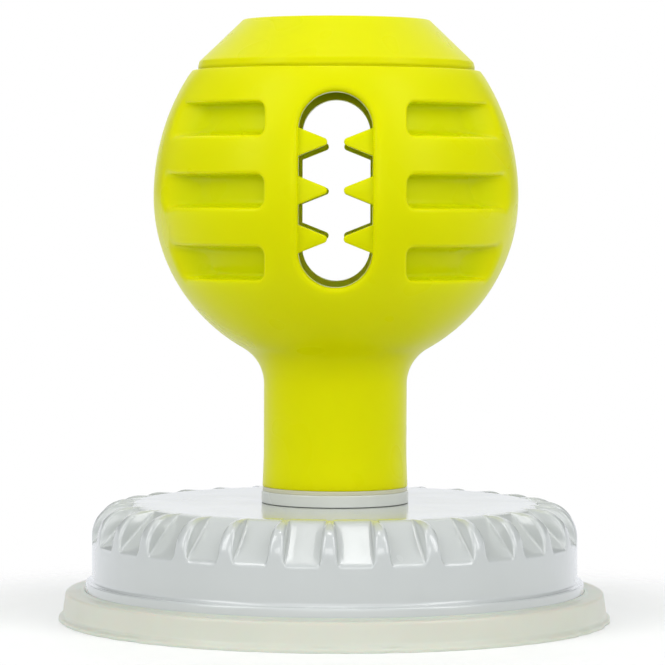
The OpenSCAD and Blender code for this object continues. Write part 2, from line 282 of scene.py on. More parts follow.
# %% [markdown]
# ## A lathe made of nodes
# The lid, collar, sleeve and cup are turned shapes: one outline swept round the upright axis. One small
# Geometry Nodes tree serves them all, with the number of steps as its input. It lays a grid whose rows are
# the outline's points and whose columns are the steps round, bends it into a ring, and merges the seam and
# the poles.

# %% Helpers for geometry trees
def geometry_tree(name, inputs):
    """A tree with a Geometry socket in and out, the sockets that its inputs give, and its output node."""
    tree = bpy.data.node_groups.new(name, "GeometryNodeTree")
    tree.interface.new_socket("Geometry", in_out="INPUT", socket_type="NodeSocketGeometry")
    for label, kind in inputs:
        tree.interface.new_socket(label, in_out="INPUT", socket_type="NodeSocket" + kind)
    tree.interface.new_socket("Geometry", in_out="OUTPUT", socket_type="NodeSocketGeometry")
    return tree, node(tree, "NodeGroupInput").outputs, node(tree, "NodeGroupOutput")


def placed(tree, template, spots, turns):
    """Sets the template on every spot with that spot's turn, as real geometry."""
    inputs = {"Points": spots, "Instance": template, "Rotation": turns}
    copies = node(tree, "GeometryNodeInstanceOnPoints", inputs)
    return node(tree, "GeometryNodeRealizeInstances", {"Geometry": copies.outputs[0]}).outputs[0]


def close_tree(tree, geometry, output):
    """Every tree ends alike: it merges doubles and realizes the instances."""
    merged = node(tree, "GeometryNodeMergeByDistance", {"Geometry": geometry, "Distance": SAME_POINT * MM})
    real = node(tree, "GeometryNodeRealizeInstances", {"Geometry": merged.outputs[0]})
    tree.links.new(real.outputs[0], output.inputs[0])


def grown(template, tree, values, name):
    """Runs the tree on the template and returns the result as a plain mesh object."""
    modifier = template.modifiers.new("grow", "NODES")
    modifier.node_group = tree
    for item in tree.interface.items_tree:
        if item.in_out == "INPUT" and item.name in values:
            modifier[item.identifier] = values[item.name]
    evaluated = template.evaluated_get(bpy.context.evaluated_depsgraph_get())
    mesh = bpy.data.meshes.new_from_object(evaluated)
    bpy.data.objects.remove(template)
    mesh.name = name
    piece = bpy.data.objects.new(name, mesh)
    bpy.context.scene.collection.objects.link(piece)
    return piece


# %% The lathe tree
def lathe_tree():
    tree, given, result = geometry_tree("lathe", [("Steps round", "Int")])
    calc = partial(maths, tree)
    outline, steps = given["Geometry"], given["Steps round"]
    count = node(tree, "GeometryNodeAttributeDomainSize", {0: outline}).outputs["Point Count"]
    columns = calc("ADD", steps, 1.0)
    grid = node(tree, "GeometryNodeMeshGrid", {"Vertices X": columns, "Vertices Y": count}).outputs["Mesh"]
    index = node(tree, "GeometryNodeInputIndex").outputs[0]
    row = calc("FLOORED_MODULO", index, count)
    column = calc("FLOOR", calc("DIVIDE", index, count))
    angle = calc("MULTIPLY", calc("DIVIDE", column, steps), math.tau)
    point = node(tree, "GeometryNodeInputPosition").outputs[0]
    sample = node(tree, "GeometryNodeSampleIndex", {"Geometry": outline}, data_type="FLOAT_VECTOR")
    tree.links.new(point, sample.inputs["Value"])
    tree.links.new(row, sample.inputs["Index"])
    parts = node(tree, "ShaderNodeSeparateXYZ", {0: sample.outputs[0]}).outputs
    around = vector(tree, calc("MULTIPLY", parts["X"], calc("COSINE", angle)),
                    calc("MULTIPLY", parts["X"], calc("SINE", angle)), parts["Z"])
    bent = node(tree, "GeometryNodeSetPosition", {"Geometry": grid, "Position": around})
    close_tree(tree, bent.outputs[0], result)
    return tree


LATHE = lathe_tree()


def turned(name, outline, steps=180):
    template = mesh_object(name + "_outline", [(x, 0, z) for x, z in outline])
    return finish_mesh(grown(template, LATHE, {"Steps round": steps}, name))


# %% [markdown]
# ## The ball's section
# The ball is one soft moulding with its stem. Its outside is a slightly flattened half below the widest
# ring and a taller half above it, and a hollow inside opens into the slot and the lid's mouth. The sizes
# repeat the CAD's, and what the frame can give is read from the frame.

# %% Sizes of the ball
ball_low, ball_high = box_mm("ball_shell")
BALL_R = (ball_high.x - ball_low.x) / 2
STEM_FOOT_Z = ball_low.z
SHOULDER_Z = ball_high.z
BALL_Z = 93
UPPER_H = 45.2
LOWER_H = 38.6
STEM_R = 15.75
STEM_FOOT_R = 16.0
STEM_FLARE_Z = 36
NECK_ROUND = 9
CAVITY_R = 33
CAVITY_FLOOR_Z = 64
MOUTH_R = 27
SOCKET_R = 12.16
SOCKET_TOP_Z = 54.5
SHOULDER_ROUND = 1.2
CAVITY_MOUTH_Z = BALL_Z + math.sqrt(CAVITY_R ** 2 - MOUTH_R ** 2)
print("ball radius", round(BALL_R, 2))


def ball_radius(z):
    half = UPPER_H if z > BALL_Z else LOWER_H
    return BALL_R * math.sqrt(max(0.0, 1 - ((z - BALL_Z) / half) ** 2))


def cavity_radius(z):
    if z > CAVITY_MOUTH_Z:
        return MOUTH_R
    return math.sqrt(CAVITY_R ** 2 - (z - BALL_Z) ** 2)


# %% The ball's painted shade and light
# Painted shade: pocket floors and other deep parts are a darker, greener lime. Painted light: the hollow
# behind the thin wall is a pale lime, standing in for light that comes through the wall.
BALL_LIME = lime("lime_ball_rubber")
# Painted shade: a darker, greener lime deep in the pockets.
painted_shading_inside(BALL_LIME, linear(216, 223, 0), BALL_Z, BALL_R, LOWER_H, UPPER_H, near=0.915, far=0.985)
# Painted light: a pale lime on the hollow's walls, for light through the thin wall.
painted_shading_inside(BALL_LIME, linear(248, 252, 90), BALL_Z, CAVITY_R, CAVITY_R, CAVITY_R, near=1.01, far=1.08)


# %% [markdown]
# ## The ball as a net with windows
# A ball with pockets could be cut with Booleans and bevelled, but a bevel breaks where cuts meet a round
# surface. Instead the ball is a net of rows and columns, and a rectangle of cells is left out where a
# pocket or the slot comes. Each window is then filled with loops that go from the rectangle to the rounded
# outline, over its soft edge and down its wall, so every edge is a clean round of its own.

# %% Rows and columns of the net
COLUMNS = 240
SLOT_SPAN = 12
POCKET_FROM, POCKET_TO = 14, 49
POCKET_H = 7.1
POCKET_PITCH = 15.3
POCKET_Z = 94.2
POCKET_MARGIN = 2.1
POCKET_ROWS = [POCKET_Z + k * POCKET_PITCH for k in (-1, 0, 1)]
WINDOW_HALF = POCKET_H / 2 + POCKET_MARGIN
ZONE_LOW, ZONE_HIGH = 69.5, 118.2
NEAR_NOTHING = 0.01
zone_marks = [ZONE_LOW]
for z in POCKET_ROWS:
    zone_marks += [z - WINDOW_HALF, z + WINDOW_HALF]
zone_marks.append(ZONE_HIGH)
ZONE = [ZONE_LOW]
for low, high in zip(zone_marks, zone_marks[1:]):
    cells = round(high - low)
    ZONE += [low + (high - low) * (i + 1) / cells for i in range(cells)]


def column_angle(column):
    return math.tau * column / COLUMNS


def on_ring(radius, angle, z):
    """A point at an angle from the front, which faces -Y, towards +X."""
    return (radius * math.sin(angle), -radius * math.cos(angle), z)


# %% Outline rows outside and inside the ball
HALVINGS = 40
NECK_STEPS = 12
BELLY_STEPS = 10
SHOULDER_DRAW = 0.1
FLOOR_SPREAD = 0.6


def lower_point(angle, out=0.0):
    """A point of the ball's lower half at its own angle, moved out of the surface."""
    normal = Vector((LOWER_H * math.cos(angle), -BALL_R * math.sin(angle))).normalized()
    return Vector((BALL_R * math.cos(angle), BALL_Z - LOWER_H * math.sin(angle))) + out * normal


def neck_touch():
    """The angle where the neck's round touches the ball, found by halving."""
    low, high = 0.0, math.pi / 2
    for _ in range(HALVINGS):
        middle = (low + high) / 2
        if lower_point(middle, NECK_ROUND).x > STEM_R + NECK_ROUND:
            low = middle
        else:
            high = middle
    return low


def outer_rows():
    touch = neck_touch()
    neck = lower_point(touch, NECK_ROUND)
    away = lower_point(touch) - neck
    neck_end = math.degrees(math.atan2(away.y, away.x))
    foot = rounded([
        (0, SOCKET_TOP_Z, 0), (SOCKET_R, SOCKET_TOP_Z, 0.4), (SOCKET_R, STEM_FOOT_Z, 0.3),
        (STEM_FOOT_R, STEM_FOOT_Z, 0.25), (STEM_R, STEM_FLARE_Z, 20), (STEM_R, neck.y, 0)])
    bend = arc(*neck, NECK_ROUND, 180, neck_end, NECK_STEPS)
    low_angle = math.asin((BALL_Z - ZONE_LOW) / LOWER_H)
    belly = [tuple(lower_point(touch + (low_angle - touch) * i / BELLY_STEPS))
             for i in range(BELLY_STEPS + 1)]
    top_z = SHOULDER_Z - SHOULDER_ROUND
    shoulder = rounded([
        (ball_radius(ZONE_HIGH), ZONE_HIGH, 0), (ball_radius(top_z), top_z, 0),
        (ball_radius(SHOULDER_Z) - SHOULDER_DRAW, SHOULDER_Z, 0.3), (MOUTH_R, SHOULDER_Z, 0.4),
        (MOUTH_R, ZONE_HIGH, 0)])
    return foot + bend[1:] + belly[1:-1], shoulder[1:-1]


def floor_rows():
    low_r = cavity_radius(ZONE_LOW)
    floor_edge = math.sqrt(CAVITY_R ** 2 - (CAVITY_FLOOR_Z - BALL_Z) ** 2)
    corners = [(low_r, ZONE_LOW, 0), (floor_edge + FLOOR_SPREAD, CAVITY_FLOOR_Z, 3), (0, CAVITY_FLOOR_Z, 0)]
    return rounded(corners)[1:]


# %% Loops that fill a window
def clamp(value, limit):
    return max(-limit, min(limit, value))


def inset(point, half_x, half_z, corner, offset):
    """The place on a rounded rectangle's outline, moved out by offset, that lies nearest to a point."""
    core_x, core_z = clamp(point[0], half_x - corner), clamp(point[1], half_z - corner)
    way = Vector((point[0] - core_x, point[1] - core_z)).normalized()
    deep = max(corner, -offset)
    reach = max(corner + offset, 0)
    return (clamp(point[0], half_x - deep) + reach * way.x, clamp(point[1], half_z - deep) + reach * way.y)


def between(first, second, share):
    return tuple(a + (b - a) * share for a, b in zip(first, second))


def quarter(radius, steps):
    """Steps of a quarter round as (offset, depth): from the edge's outside to its wall."""
    angles = [math.pi / 2 * i / steps for i in range(steps + 1)]
    return [(radius * (1 - math.sin(a)), radius * (1 - math.cos(a))) for a in angles]


# %% Pocket and slot edges
POCKET_DEPTH = 4.5
POCKET_EDGE = 0.8
POCKET_FLOOR_ROUND = 1.5
POCKET_DRAFT = 0.3
POCKET_CORNER = 1.9
SLOT_W = 15.6
SLOT_H = 41.3
SLOT_Z = 94.5
SLOT_EDGE = 1.7
POCKET_NEAR_X = 15.2
POCKET_FAR_ANGLE = math.radians(68.5)
POCKET_FAR_SOFT = 1.0
POCKET_FAR_ZONE = 7
POCKET_SLOPE = 7.5
POCKET_SLOPE_ZONE = 17
POCKET_SLOPE_CURVE = 0.77
POCKET_SEAM_BAND = 1.1
EDGE_STEPS, FLOOR_STEPS, SLOT_EDGE_STEPS = 5, 6, 8


def pocket_span(z):
    """Middle and half of the angle that a pocket covers at a height: its near end is upright."""
    near = math.asin(POCKET_NEAR_X / ball_radius(z))
    return (near + POCKET_FAR_ANGLE) / 2, (POCKET_FAR_ANGLE - near) / 2


HALF_POCKET = pocket_span(POCKET_Z)[1] * BALL_R


def far_share(x, zone):
    """Rises smoothly from 0 to 1 over a zone that ends at the pocket's far end."""
    share = min(1, max(0, (x - HALF_POCKET) / zone + 1))
    return share * share * (3 - 2 * share)


def softness(place):
    """How much wider the rounds are than elsewhere: they grow towards the pocket's far end."""
    return 1 + POCKET_FAR_SOFT * far_share(place[0], POCKET_FAR_ZONE)


def drawn_in(place, depth):
    """The far end is a slope: the deeper a point lies, the further it moves towards the near end."""
    fall = 1 - max(0.0, 1 - depth / POCKET_DEPTH) ** POCKET_SLOPE_CURVE
    return place[0] - POCKET_SLOPE * fall * far_share(place[0], POCKET_SLOPE_ZONE), place[1]


def pocket_steps():
    """Offset and depth from the pocket's soft edge, down the wall and over the round to the floor."""
    edge = quarter(POCKET_EDGE, EDGE_STEPS)
    wall_end = POCKET_DEPTH - POCKET_FLOOR_ROUND
    wall = [(-POCKET_DRAFT / 2, (POCKET_EDGE + wall_end) / 2)]
    floor = [(-POCKET_DRAFT - POCKET_FLOOR_ROUND * (1 - math.cos(a)),
              wall_end + POCKET_FLOOR_ROUND * math.sin(a))
             for a in [math.pi / 2 * i / FLOOR_STEPS for i in range(FLOOR_STEPS + 1)]]
    middle = [(-POCKET_H / 2 + POCKET_SEAM_BAND, POCKET_DEPTH), (-POCKET_H / 2, POCKET_DEPTH)]
    return edge + wall + floor + middle


# %% A net of points and faces
class Net:
    """A mesh in the making. A loop is a list of point numbers."""

    def __init__(self):
        self.points, self.faces = [], []

    def add(self, point):
        self.points.append(point)
        return len(self.points) - 1

    def ring(self, radius, z):
        if radius < NEAR_NOTHING:
            return [self.add((0, 0, z))] * COLUMNS
        return [self.add(on_ring(radius, column_angle(c), z)) for c in range(COLUMNS)]

    def stitch(self, first, second, skip=()):
        """Faces between two loops. Where two corners are one point, as at a pole, it is a triangle."""
        for c in range(len(first)):
            n = (c + 1) % len(first)
            if c not in skip:
                self.faces.append(list(dict.fromkeys([first[c], first[n], second[n], second[c]])))

    def stitch_all(self, loops):
        for first, second in zip(loops, loops[1:]):
            self.stitch(first, second)

    def fill(self, loop, places):
        """Stitches one list of new points after another to the loop and returns the last loop."""
        for place in places:
            new = [self.add(p) for p in place]
            self.stitch(loop, new)
            loop = new
        return loop


def border(rings, columns, rows):
    """The loop of net points round a window of cells."""
    ends = columns + [(columns[-1] + 1) % COLUMNS]
    levels = rows + [rows[-1] + 1]
    bottom = [rings[levels[0]][c] for c in ends[:-1]]
    up_side = [rings[r][ends[-1]] for r in levels[:-1]]
    top = [rings[levels[-1]][c] for c in reversed(ends[1:])]
    down_side = [rings[r][ends[0]] for r in reversed(levels[1:])]
    return bottom + up_side + top + down_side


# %% Fill a pocket's window
# The shares say where loops lie between the window's border and the pocket's rim.
POCKET_APRON = (0.45, 0.8)
POCKET_SIZE = (HALF_POCKET, POCKET_H / 2, POCKET_CORNER)


def fill_pocket(net, loop, z, slot_angle, side):
    def flat(point, span_z):
        turn = side * (math.atan2(point[0], -point[1]) % math.tau - slot_angle) % math.tau
        middle, half = pocket_span(span_z)
        return ((turn - middle) / half * HALF_POCKET, point[2] - z)

    def lifted(place, depth):
        height = z + place[1]
        middle, half = pocket_span(height)
        angle = slot_angle + side * (middle + place[0] / HALF_POCKET * half)
        return on_ring(ball_radius(height) - depth, angle, height)

    start = [flat(net.points[i], net.points[i][2]) for i in loop]
    # the same span above and below, so that both halves of the floor meet point to point
    even = [flat(net.points[i], z) for i in loop]
    soft = [softness(p) for p in even]

    def outline(offset):
        return [inset(p, *POCKET_SIZE, max(offset * s, -POCKET_H / 2)) for p, s in zip(even, soft)]

    rim = outline(POCKET_EDGE)
    places = [[lifted(between(a, b, share), 0) for a, b in zip(start, rim)] for share in POCKET_APRON]
    places += [[lifted(drawn_in(p, depth), depth) for p in outline(offset)]
               for offset, depth in pocket_steps()]
    net.fill(loop, places)


# %% Fill one end of the slot
# The shares say where loops lie before the rim, through the slot's wall and in the hollow behind it.
SLOT_APRON = (0.25, 0.5, 0.75, 0.92)
SLOT_WALL = (0.5, 1)
SLOT_LINING = (0.3, 0.65)
SLOT_SIZE = (SLOT_W / 2, SLOT_H / 2, SLOT_W / 2)


def fill_slot(net, outer_loop, inner_loop, side):
    def seen(point):
        return (side * point[0], point[2] - SLOT_Z)

    def pushed(place, radius, back):
        x, height = place[0], place[1] + SLOT_Z
        y = math.sqrt(radius(height) ** 2 - x ** 2) - back
        return (side * x, -side * y, height)

    start = [seen(net.points[i]) for i in outer_loop]
    rim = [inset(p, *SLOT_SIZE, SLOT_EDGE) for p in start]
    places = [[pushed(between(a, b, share), ball_radius, 0) for a, b in zip(start, rim)]
              for share in SLOT_APRON]
    places += [[pushed(inset(p, *SLOT_SIZE, offset), ball_radius, depth) for p in start]
               for offset, depth in quarter(SLOT_EDGE, SLOT_EDGE_STEPS)]
    last = net.fill(outer_loop, places)
    outline = [inset(p, *SLOT_SIZE, 0) for p in start]
    inside = [seen(net.points[i]) for i in inner_loop]
    wall = [net.points[i] for i in last]
    edge = [pushed(p, cavity_radius, 0) for p in outline]
    places = [[between(a, b, share) for a, b in zip(wall, edge)] for share in SLOT_WALL]
    places += [[pushed(between(a, b, share), cavity_radius, 0) for a, b in zip(outline, inside)]
               for share in SLOT_LINING]
    net.stitch(net.fill(last, places), inner_loop)


# %% Build the ball's net
# Pockets are counted from the middle of a slot to one side of it.
HALF_ROUND = COLUMNS // 2
POCKET_SIDES = [(0, 1), (HALF_ROUND, -1), (HALF_ROUND, 1), (COLUMNS, -1)]


def ball_net():
    net = Net()
    below, above = outer_rows()
    outer = [net.ring(ball_radius(z), z) for z in ZONE]
    inner = [net.ring(cavity_radius(z), z) for z in ZONE]
    low_rings = [net.ring(r, z) for r, z in below]
    top_rings = [net.ring(r, z) for r, z in above]
    floor_rings = [net.ring(r, z) for r, z in floor_rows()]
    net.stitch_all(low_rings + [outer[0]])
    net.stitch_all([outer[-1]] + top_rings + [inner[-1]])
    net.stitch_all([inner[0]] + floor_rings)

    slots = [[c % COLUMNS for c in range(middle - SLOT_SPAN, middle + SLOT_SPAN)]
             for middle in (0, HALF_ROUND)]
    pockets = [[middle + c for c in range(POCKET_FROM, POCKET_TO)] if side > 0 else
               [middle - c - 1 for c in reversed(range(POCKET_FROM, POCKET_TO))]
               for middle, side in POCKET_SIDES]
    windows = {z: [i for i, level in enumerate(ZONE)
                   if z - WINDOW_HALF - NEAR_NOTHING < level < z + WINDOW_HALF - NEAR_NOTHING]
               for z in POCKET_ROWS}
    pocket_rows = {i for rows in windows.values() for i in rows}
    slot_cells = {c for cells in slots for c in cells}
    pocket_cells = {c for cells in pockets for c in cells}
    for i in range(len(ZONE) - 1):
        net.stitch(outer[i], outer[i + 1], slot_cells | (pocket_cells if i in pocket_rows else set()))
        net.stitch(inner[i], inner[i + 1], slot_cells)

    for cells, (slot_column, side) in zip(pockets, POCKET_SIDES):
        for z, rows in windows.items():
            fill_pocket(net, border(outer, cells, rows), z, column_angle(slot_column), side)
    all_rows = list(range(len(ZONE) - 1))
    for cells, side in zip(slots, (1, -1)):
        fill_slot(net, border(outer, cells, all_rows), border(inner, cells, all_rows), side)
    return net.points, net.faces


ball = finish_mesh(mesh_object("lime_ball", *ball_net()))

# %% [markdown]
# ## The teeth in the slot
# Three blunt teeth stand on each side of the front slot and three on each side of the back one, so treats
# stay in until they are licked out. All twelve are one shape, so a Geometry Nodes tree sets a template on
# twelve places: half turns about X, Y and Z bring it to the other sides without mirroring it. The tree
# then pushes every point along Y, so that the tooth's face follows the ball's curve.

# %% One tooth
TOOTH_ROWS = 3
TOOTH_PITCH = 10.2
TOOTH_ROOT_H = 6
TOOTH_DROP = 0.15
TOOTH_LEN = 6.05
TOOTH_TIP_R = 0.85
TOOTH_THICK = 4.3
TOOTH_BURY = 1.2
TOOTH_SETBACK = 1.4
TOOTH_ROUND = 0.3
TOOTH_TIP_STEPS = 8
TOOTH_RIM_ANGLE = math.radians(60)
FLANK_SHARES = (0, 0.33, 0.66)


def tooth_template():
    tip_x = TOOTH_LEN - TOOTH_TIP_R
    side = math.degrees(math.atan2(tip_x, TOOTH_ROOT_H / 2 - TOOTH_TIP_R))
    tip = arc(tip_x, 0, TOOTH_TIP_R, side, -side, TOOTH_TIP_STEPS)
    end_x, end_z = tip[0]
    flank = [between((0, TOOTH_ROOT_H / 2), (end_x, end_z), share) for share in FLANK_SHARES]
    outline = ([(-TOOTH_BURY, TOOTH_ROOT_H / 2)] + flank + tip
               + [(x, -z) for x, z in reversed(flank)] + [(-TOOTH_BURY, -TOOTH_ROOT_H / 2)])
    half = TOOTH_THICK / 2
    points = [(x, y, z) for y in (-half, half) for x, z in outline]
    count = len(outline)
    faces = [[i, (i + 1) % count, count + (i + 1) % count, count + i] for i in range(count)]
    faces += [list(range(count)), list(range(count, 2 * count))]
    tooth = mesh_object("tooth", points, faces)
    work = bmesh.new()
    work.from_mesh(tooth.data)
    bmesh.ops.recalc_face_normals(work, faces=work.faces)
    rims = [e for e in work.edges if e.calc_face_angle() > TOOTH_RIM_ANGLE]
    bmesh.ops.bevel(work, geom=rims, offset=TOOTH_ROUND * MM, segments=3, affect="EDGES", profile=0.5)
    work.to_mesh(tooth.data)
    work.free()
    return tooth


# %% The tree that sets twelve teeth
def teeth_tree():
    lengths = ("Pitch", "Slot half width", "Middle height", "Ball radius", "Ball height", "Setback",
               "Thickness")
    inputs = [("Rows", "Int")] + [(label, "Float") for label in lengths]
    tree, given, result = geometry_tree("teeth", inputs)
    calc = partial(maths, tree)
    rows = given["Rows"]
    index = node(tree, "GeometryNodeInputIndex").outputs[0]
    row = calc("FLOORED_MODULO", index, rows)
    place = calc("FLOOR", calc("DIVIDE", index, rows))

    def is_place(number):
        return calc("COMPARE", place, float(number))

    half_turns = [calc("MULTIPLY", is_place(n), math.pi) for n in (3, 1, 2)]
    right = calc("ADD", is_place(1), is_place(2))
    back = calc("ADD", is_place(2), is_place(3))
    side_x = calc("SUBTRACT", calc("MULTIPLY", right, 2.0), 1.0)
    side_y = calc("SUBTRACT", calc("MULTIPLY", back, 2.0), 1.0)
    mid_row = calc("DIVIDE", calc("SUBTRACT", rows, 1.0), 2.0)
    height = calc("ADD", given["Middle height"],
                   calc("MULTIPLY", calc("SUBTRACT", row, mid_row), given["Pitch"]))
    spot = vector(tree, calc("MULTIPLY", side_x, given["Slot half width"]),
                  calc("MULTIPLY", side_y, given["Ball radius"]), height)
    total = calc("MULTIPLY", rows, 4.0)
    spots = node(tree, "GeometryNodePoints", {"Count": total, "Position": spot}).outputs[0]
    turns = node(tree, "FunctionNodeEulerToRotation", {0: vector(tree, *half_turns)}).outputs[0]
    real = placed(tree, given["Geometry"], spots, turns)
    position = node(tree, "GeometryNodeInputPosition").outputs[0]
    x, y, z = node(tree, "ShaderNodeSeparateXYZ", {0: position}).outputs
    drop = calc("SUBTRACT", z, given["Ball height"])
    squares = calc("ADD", calc("MULTIPLY", x, x), calc("MULTIPLY", drop, drop))
    radius = given["Ball radius"]
    surface = calc("SQRT", calc("SUBTRACT", calc("MULTIPLY", radius, radius), squares))
    half_thick = calc("DIVIDE", given["Thickness"], 2.0)
    inward = calc("ADD", given["Setback"], half_thick)
    shift = calc("SUBTRACT", calc("SUBTRACT", surface, radius), inward)
    push = vector(tree, 0.0, calc("MULTIPLY", calc("SIGN", y), shift), 0.0)
    moved = node(tree, "GeometryNodeSetPosition", {"Geometry": real, "Offset": push}).outputs[0]
    close_tree(tree, moved, result)
    return tree


teeth = finish_mesh(grown(tooth_template(), teeth_tree(), {
    "Rows": TOOTH_ROWS, "Pitch": TOOTH_PITCH * MM, "Slot half width": SLOT_W / 2 * MM,
    "Middle height": (SLOT_Z - TOOTH_DROP) * MM, "Ball radius": BALL_R * MM, "Ball height": BALL_Z * MM,
    "Setback": TOOTH_SETBACK * MM, "Thickness": TOOTH_THICK * MM}, "teeth"))


# %% Join the teeth to the ball
def joined(piece, other):
    """One skin from two closed meshes, as the real moulding has."""
    union = piece.modifiers.new("join", "BOOLEAN")
    union.operation = "UNION"
    union.solver = "EXACT"
    union.object = other
    evaluated = piece.evaluated_get(bpy.context.evaluated_depsgraph_get())
    mesh = bpy.data.meshes.new_from_object(evaluated)
    piece.modifiers.remove(union)
    piece.data = mesh
    bpy.data.objects.remove(other)
    return finish_mesh(piece)


joined(ball, teeth)
dress(ball, BALL_LIME)
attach(ball, "ball")
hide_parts("ball_shell")

# %% [markdown]
# ## The cone lid
# A plug lid of the same soft lime plastic: a flat top, a straight cone, a short upright rim that rests on
# the ball's shoulder, and a skirt that plugs the mouth. It is a turned piece, so it goes through the lathe.

# %% Lid outline
lid_low, lid_high = box_mm("top_lid")
LID_TOP_R = 20.5
LID_RIM_R = (lid_high.x - lid_low.x) / 2
LID_RIM_TOP_Z = SHOULDER_Z + 2.0
LID_RIM_MIDDLE_Z = SHOULDER_Z + 0.9
LID_SEAT_Z = SHOULDER_Z + 0.02
RIM_LEAN = 0.3
RIM_UNDERCUT = 0.1
SKIRT_R = 26.9
SKIRT_IN_R = SKIRT_R - 2.5
ROOF_R = LID_TOP_R - 2.7
ROOF_Z = lid_high.z - 3.2
lid_outline = rounded([
    (0, lid_high.z, 0), (LID_TOP_R, lid_high.z, 0.5), (LID_RIM_R - RIM_LEAN, LID_RIM_TOP_Z, 0.6),
    (LID_RIM_R, LID_RIM_MIDDLE_Z, 0.8), (LID_RIM_R - RIM_UNDERCUT, LID_SEAT_Z, 0.12),
    (SKIRT_R, LID_SEAT_Z, 0.25), (SKIRT_R, lid_low.z, 0.6), (SKIRT_IN_R, lid_low.z, 0.6),
    (SKIRT_IN_R, LID_RIM_MIDDLE_Z, 1.0), (ROOF_R, ROOF_Z, 1.5), (0, ROOF_Z, 0)])
lid = turned("cone_lid", lid_outline)
dress(lid, LIME)
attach(lid, "lid")
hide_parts("top_lid")

# %% [markdown]
# ## Sleeve and collar under the stem
# The stem is lined with a stiff sleeve whose thin dull flange shows as a band under the lime. Its grey is
# painted darker and warmer, a painted reflection of the lime above and painted shade under the stem. It
# stands on the light grey collar, whose spigot goes up inside the sleeve. Both are turned pieces.

# %% Sleeve outline
sleeve_low, sleeve_high = box_mm("stem_insert")
SLEEVE_IN = 11.06
SLEEVE_OUT = 12.16
SLEEVE_MIDDLE_Z = 40
SLEEVE_FLANGE = (sleeve_high.x - sleeve_low.x) / 2
sleeve_outline = rounded([
    (SLEEVE_IN, SLEEVE_MIDDLE_Z, 0), (SLEEVE_IN, sleeve_low.z, 0.15), (SLEEVE_FLANGE, sleeve_low.z, 0.12),
    (SLEEVE_FLANGE, STEM_FOOT_Z, 0.1), (SLEEVE_OUT, STEM_FOOT_Z, 0), (SLEEVE_OUT, sleeve_high.z, 0.3),
    (SLEEVE_IN, sleeve_high.z, 0.3), (SLEEVE_IN, SLEEVE_MIDDLE_Z, 0)])
sleeve = turned("stem_sleeve", sleeve_outline)
dress(sleeve, SLEEVE_OLIVE_SHADED)
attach(sleeve, "ball")
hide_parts("stem_insert")

# %% Collar outline
collar_low, collar_high = box_mm("swivel_collar")
COLLAR_R = (collar_high.x - collar_low.x) / 2
COLLAR_TOP_Z = 28.4
SPIGOT_R = 11
POST_BORE_R = 5.01
WASHER_BORE_R = 7.8
SHELF_Z = 47.7
BORE_MIDDLE_Z = 35
COLLAR_SINK = 0.2
COLLAR_FOOT_Z = collar_low.z - COLLAR_SINK
collar_outline = rounded([
    (POST_BORE_R, BORE_MIDDLE_Z, 0), (POST_BORE_R, COLLAR_FOOT_Z, 0.3), (COLLAR_R, COLLAR_FOOT_Z, 0.15),
    (COLLAR_R, COLLAR_TOP_Z, 0.25), (SPIGOT_R, COLLAR_TOP_Z, 0), (SPIGOT_R, collar_high.z, 0.8),
    (WASHER_BORE_R, collar_high.z, 0.4), (WASHER_BORE_R, SHELF_Z, 0), (POST_BORE_R, SHELF_Z, 0.2),
    (POST_BORE_R, BORE_MIDDLE_Z, 0)])
collar = turned("grey_collar", collar_outline)
dress(collar, COLLAR_GREY)
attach(collar, "swivel")
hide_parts("swivel_collar")

# %% [markdown]
# ## The ribbed knob
# Thirty flat scallops are pressed into the knob's round shoulder and leave thirty ribs to grip. Cutting
# thirty boxes would leave hard corners, so one scallop is built as a net that follows the shoulder: each
# point is pushed in to the scallop's flat floor, with a soft round at the rib's edge and another at the
# floor. A Geometry Nodes tree then sets the same sector round the axis and merges the seams.

# %% Sizes of the knob
knob_low, knob_high = box_mm("lock_knob")
FLANGE_R = (knob_high.x - knob_low.x) / 2
FLANGE_OUT = 1.6
KNOB_R = FLANGE_R - FLANGE_OUT
KNOB_TOP_Z = knob_high.z
KNOB_FOOT_Z = knob_low.z
KNOB_ROUND = 7
KNOB_HOLE_R = 9.8
KNOB_WALL = 2
KNOB_UNDER_Z = 22.6
HUB_R = 16.2
FLANGE_TOP_Z = 8.6
FLANGE_GAP = 0.06
FLANGE_LEAN = 0.25
FLANGE_SEAT = 1.0
FLANGE_STEP = 1.2
WALL_TOP_Z = 15.4
WALL_IN_R = KNOB_R - KNOB_WALL
ROOF_DROP = 0.2
DISC_R = 44.3
KNOB_ROOF_R = DISC_R - 1.7
SCALLOPS = 30
SCALLOP_HALF = 3.8
SCALLOP_FOOT_Z = 17
SCALLOP_CORNER = 1.5
RIB_ROUND = 1.1
FLOOR_ROUND = 0.7
END_ROUND = 0.35
RIB_PHASE = math.radians(-91.1)
RIB_FLAT = 0.05
RIB_HALF = 0.3
KNEE = 1.9
SCALLOP_REACH = 1.5
WALL_SKIN = 0.3
slope = Vector((KNOB_R - DISC_R, SCALLOP_FOOT_Z - KNOB_TOP_Z)).normalized()
FLOOR_NORMAL = Vector((-slope.y, slope.x))


# %% Knob rows: place and outward normal
FIRST_DISC_R = 16
DISC_ROWS = (22, 30, 37, 41, 42.8, 43.6, 44, 44.3, 44.6, 45, 45.5, 46)
WALL_ROWS = (18.1, 17.7, 17.4, 17.15, 16.9, 16.65, 16.3, 15.8, 15, 13)
FOOT_START_Z = 12
SHOULDER_STEPS = 16


